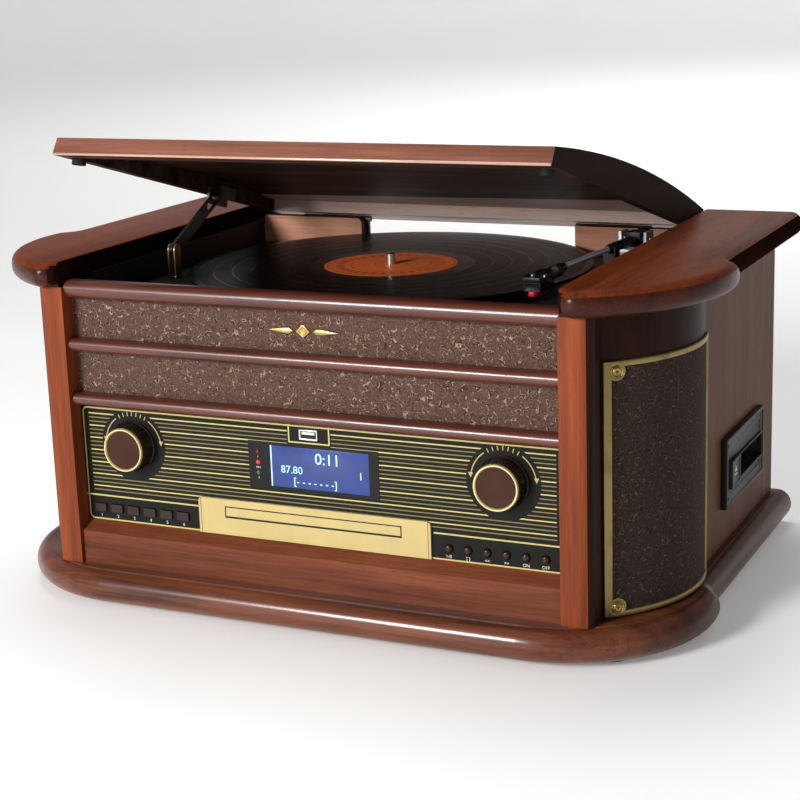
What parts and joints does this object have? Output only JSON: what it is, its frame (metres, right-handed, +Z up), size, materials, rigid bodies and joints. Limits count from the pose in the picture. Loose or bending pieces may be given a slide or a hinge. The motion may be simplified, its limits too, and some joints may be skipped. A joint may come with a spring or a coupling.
{
  "type": "stereo music centre",
  "caption": "Wooden tabletop music centre with a record deck under a hinged lid, radio and disc front, side cassette slot and curved loudspeaker corners.",
  "frame": {"origin": "on the table, below the middle of the plinth", "axes": "+X to the listener's right along the front, +Y from the front to the back, +Z up"},
  "size_m": [0.5444, 0.36, 0.3372],
  "materials": {
    "dark_wood": "stained wood, satin lacquer",
    "plain_board": "bare fibreboard",
    "grille_fabric": "mottled woven grille cloth",
    "rubber_pad": "matte",
    "belt_rubber": "matte",
    "antique_brass": "antique gold paint",
    "screw_brass": "dull",
    "panel_black": "black with gold print",
    "pale_gold": "satin pale gold",
    "black_plastic": "moulded",
    "brown_plastic": "moulded",
    "button_plastic": "moulded",
    "bezel_plastic": "moulded",
    "display_glass": "tinted window",
    "bright_steel": "polished",
    "grey_metal": "grey",
    "black_metal": "black enamel",
    "silver_plastic": "satin silver",
    "green_board": "glass-fibre circuit board",
    "record_vinyl": "pressed record",
    "socket_plastic": "moulded"
  },
  "bodies": {
    "cabinet": {"back_panel": "plain_board", "cassette_bezel": "bezel_plastic", "cassette_mechanism": "black_plastic", "cd_mechanism": "black_plastic", "cd_plate": "pale_gold", "control_board": "green_board", "corner_blocks": "plain_board", "deck_plate": "plain_board", "display_window": "display_glass", "drive_belt": "belt_rubber", "drive_motor": "grey_metal", "feet": "rubber_pad", "front_panel": "panel_black", "front_rails": "dark_wood", "grille_board": "plain_board", "grille_cloths": "grille_fabric", "hinge_leaves": "screw_brass", "kick_panel": "dark_wood", "plinth": "dark_wood", "power_transformer": "grey_metal", "rear_connectors": "socket_plastic", "side_panels": "dark_wood", "speaker_cloths": "grille_fabric", "speaker_drivers": "grey_metal", "speaker_frames": "antique_brass", "speaker_screws": "screw_brass", "stay_deck_bracket": "grey_metal", "stiles": "dark_wood", "tonearm_base": "silver_plastic", "usb_port": "bright_steel", "wings": "dark_wood"},
    "lid": {"lid": "dark_wood", "lid_hinges": "screw_brass", "lid_bumpers": "rubber_pad", "lid_stay_bracket": "grey_metal"},
    "stay": {"stay_arm": "black_metal"},
    "turntable": {"platter": "black_metal", "spindle": "bright_steel", "record": "record_vinyl"},
    "pulley": {"motor_pulley": "black_plastic"},
    "arm_yoke": {"tonearm_yoke": "silver_plastic"},
    "arm": {"tonearm": "bright_steel", "headshell": "black_plastic"},
    "volume": {"volume_knob": "brown_plastic"},
    "tuning": {"tuning_knob": "brown_plastic"},
    "disc_tray": {"cd_tray": "black_plastic"},
    "eject": {"eject_key": "bezel_plastic"},
    "speed": {"speed_switch": "black_plastic"},
    "menu_button_1_body": {"menu_button_1": "button_plastic"},
    "menu_button_2_body": {"menu_button_2": "button_plastic"},
    "menu_button_3_body": {"menu_button_3": "button_plastic"},
    "menu_button_4_body": {"menu_button_4": "button_plastic"},
    "menu_button_5_body": {"menu_button_5": "button_plastic"},
    "menu_button_6_body": {"menu_button_6": "button_plastic"},
    "play_button_1_body": {"play_button_1": "button_plastic"},
    "play_button_2_body": {"play_button_2": "button_plastic"},
    "play_button_3_body": {"play_button_3": "button_plastic"},
    "play_button_4_body": {"play_button_4": "button_plastic"},
    "play_button_5_body": {"play_button_5": "button_plastic"},
    "play_button_6_body": {"play_button_6": "button_plastic"}
  },
  "joints": [
    {"name": "lid_hinge", "type": "hinge", "parent": "cabinet", "child": "lid", "pos_m": [0, 0.1444, 0.2382], "axis": [-1, 0, 0], "range_deg": [-15.5, 0]},
    {"name": "stay_swing", "type": "hinge", "parent": "cabinet", "child": "stay", "pos_m": [-0.171, -0.034, 0.2385], "axis": [1, 0, 0], "range_deg": [-24.6, 0]},
    {"name": "platter_spin", "type": "hinge", "parent": "cabinet", "child": "turntable", "pos_m": [-0.006, 0.004, 0.22], "axis": [0, 0, 1], "continuous": true},
    {"name": "pulley_spin", "type": "hinge", "parent": "cabinet", "child": "pulley", "pos_m": [-0.06652, 0.05478, 0.22], "axis": [0, 0, 1], "continuous": true},
    {"name": "tonearm_yaw", "type": "hinge", "parent": "cabinet", "child": "arm_yoke", "pos_m": [0.158, 0.086, 0.2405], "axis": [0, 0, -1], "range_deg": [0, 39]},
    {"name": "tonearm_lift", "type": "hinge", "parent": "arm_yoke", "child": "arm", "pos_m": [0.158, 0.086, 0.2405], "axis": [-0.9956, 0.0941, 0], "range_deg": [0, 12]},
    {"name": "volume_turn", "type": "hinge", "parent": "cabinet", "child": "volume", "pos_m": [-0.1427, -0.155, 0.117], "axis": [0, -1, 0], "range_deg": [-150, 150]},
    {"name": "tuning_turn", "type": "hinge", "parent": "cabinet", "child": "tuning", "pos_m": [0.1427, -0.155, 0.117], "axis": [0, -1, 0], "continuous": true},
    {"name": "disc_tray_slide", "type": "slide", "parent": "cabinet", "child": "disc_tray", "axis": [0, -1, 0], "range_m": [0, 0.13]},
    {"name": "eject_press", "type": "slide", "parent": "cabinet", "child": "eject", "axis": [-1, 0, 0], "range_m": [0, 0.003], "stiffness_N_per_m": 300},
    {"name": "speed_slide", "type": "slide", "parent": "cabinet", "child": "speed", "axis": [1, 0, 0], "range_m": [0, 0.008]},
    {"name": "menu_button_1_press", "type": "slide", "parent": "cabinet", "child": "menu_button_1_body", "axis": [0, 1, 0], "range_m": [0, 0.001], "stiffness_N_per_m": 300},
    {"name": "menu_button_2_press", "type": "slide", "parent": "cabinet", "child": "menu_button_2_body", "axis": [0, 1, 0], "range_m": [0, 0.001], "stiffness_N_per_m": 300},
    {"name": "menu_button_3_press", "type": "slide", "parent": "cabinet", "child": "menu_button_3_body", "axis": [0, 1, 0], "range_m": [0, 0.001], "stiffness_N_per_m": 300},
    {"name": "menu_button_4_press", "type": "slide", "parent": "cabinet", "child": "menu_button_4_body", "axis": [0, 1, 0], "range_m": [0, 0.001], "stiffness_N_per_m": 300},
    {"name": "menu_button_5_press", "type": "slide", "parent": "cabinet", "child": "menu_button_5_body", "axis": [0, 1, 0], "range_m": [0, 0.001], "stiffness_N_per_m": 300},
    {"name": "menu_button_6_press", "type": "slide", "parent": "cabinet", "child": "menu_button_6_body", "axis": [0, 1, 0], "range_m": [0, 0.001], "stiffness_N_per_m": 300},
    {"name": "play_button_1_press", "type": "slide", "parent": "cabinet", "child": "play_button_1_body", "axis": [0, 1, 0], "range_m": [0, 0.001], "stiffness_N_per_m": 300},
    {"name": "play_button_2_press", "type": "slide", "parent": "cabinet", "child": "play_button_2_body", "axis": [0, 1, 0], "range_m": [0, 0.001], "stiffness_N_per_m": 300},
    {"name": "play_button_3_press", "type": "slide", "parent": "cabinet", "child": "play_button_3_body", "axis": [0, 1, 0], "range_m": [0, 0.001], "stiffness_N_per_m": 300},
    {"name": "play_button_4_press", "type": "slide", "parent": "cabinet", "child": "play_button_4_body", "axis": [0, 1, 0], "range_m": [0, 0.001], "stiffness_N_per_m": 300},
    {"name": "play_button_5_press", "type": "slide", "parent": "cabinet", "child": "play_button_5_body", "axis": [0, 1, 0], "range_m": [0, 0.001], "stiffness_N_per_m": 300},
    {"name": "play_button_6_press", "type": "slide", "parent": "cabinet", "child": "play_button_6_body", "axis": [0, 1, 0], "range_m": [0, 0.001], "stiffness_N_per_m": 300}
  ],
  "couplings": [
    {"joint": "stay_swing", "follows": "lid_hinge", "ratio": 1.58},
    {"joint": "pulley_spin", "follows": "platter_spin", "ratio": 11.273}
  ]
}
